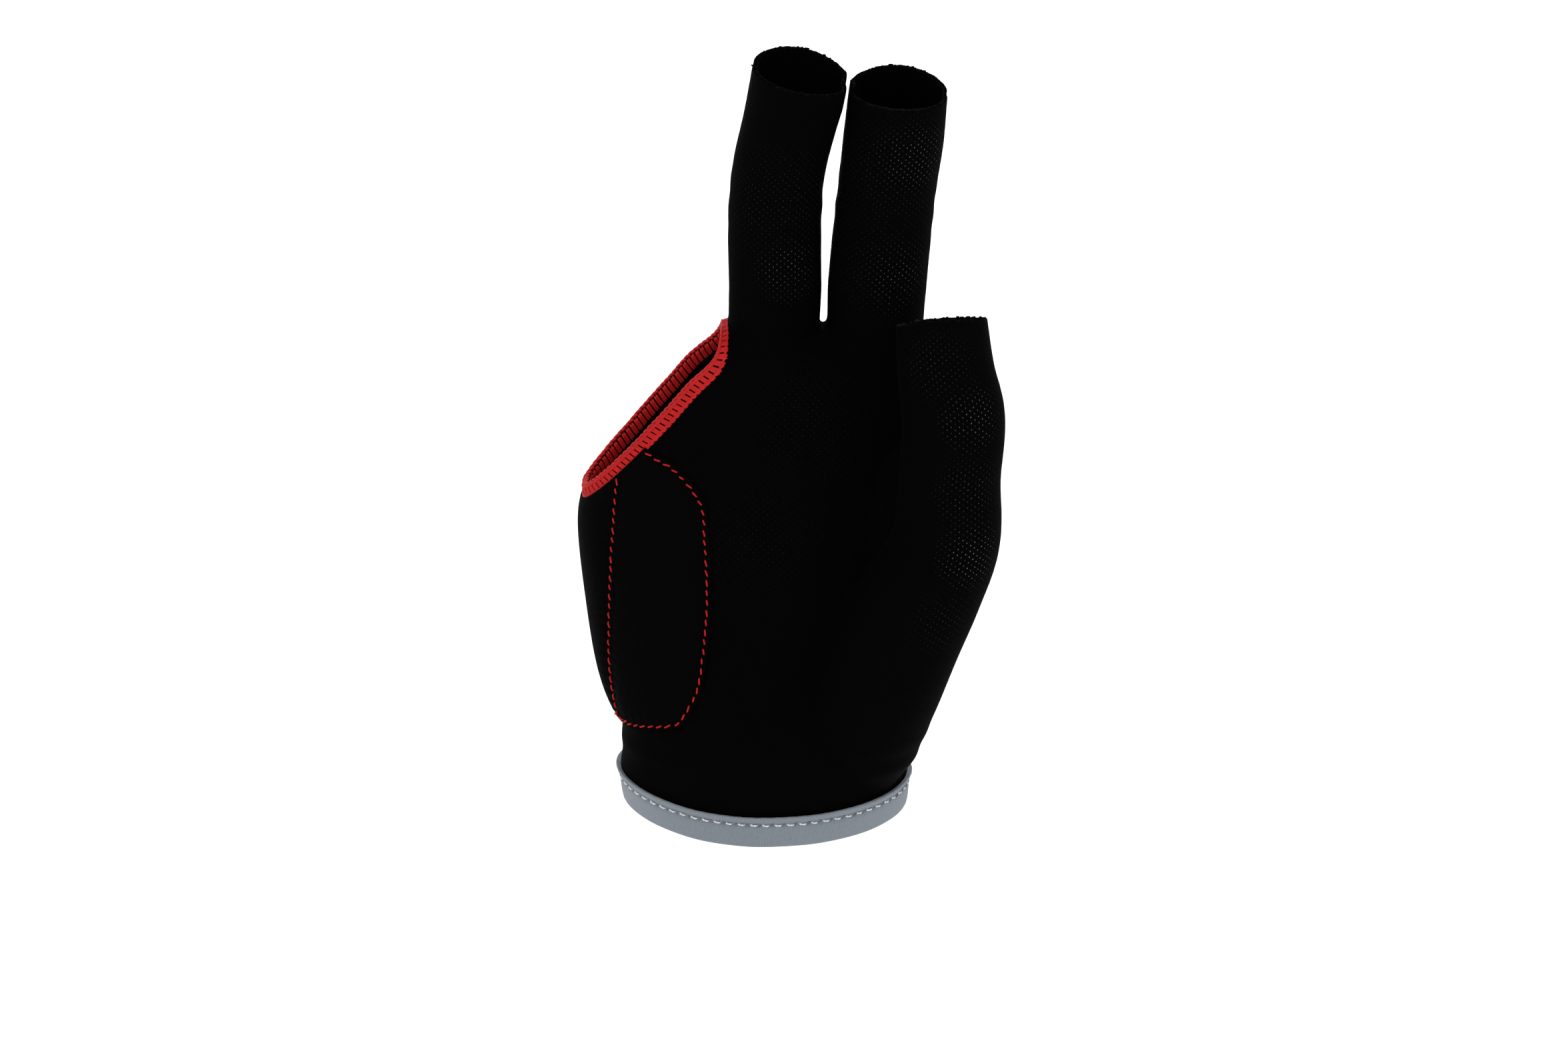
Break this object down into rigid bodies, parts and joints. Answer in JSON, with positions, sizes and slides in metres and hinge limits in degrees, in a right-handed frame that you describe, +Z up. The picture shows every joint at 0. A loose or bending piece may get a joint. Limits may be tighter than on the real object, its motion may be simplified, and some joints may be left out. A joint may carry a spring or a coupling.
{
  "type": "billiard glove",
  "caption": "Open-fingered billiard glove: knit sleeves for thumb, index and middle finger, a quilted heel pad, an overlocked side opening and a bound wrist.",
  "frame": {"origin": "middle of the wrist opening, where the glove sits on a wrist", "axes": "+Z up the hand to the fingers, -Y out of the palm, +X to the thumb side"},
  "size_m": [0.0973, 0.0594, 0.1829],
  "materials": {
    "knit": "matt black stretch knit with a fine pin-dot mesh",
    "pad_cover": "matt black padded fabric, stitched in red",
    "red_thread": "red polyester thread with a slight sheen",
    "grey_tape": "ribbed blue-grey elastic tape with light grey stitches"
  },
  "bodies": {
    "root": {"palm_panel": "knit", "back_panel": "knit", "thumb_sleeve": "knit", "heel_pad": "pad_cover", "edge_overlock": "red_thread", "wrist_binding": "grey_tape"}
  },
  "joints": []
}
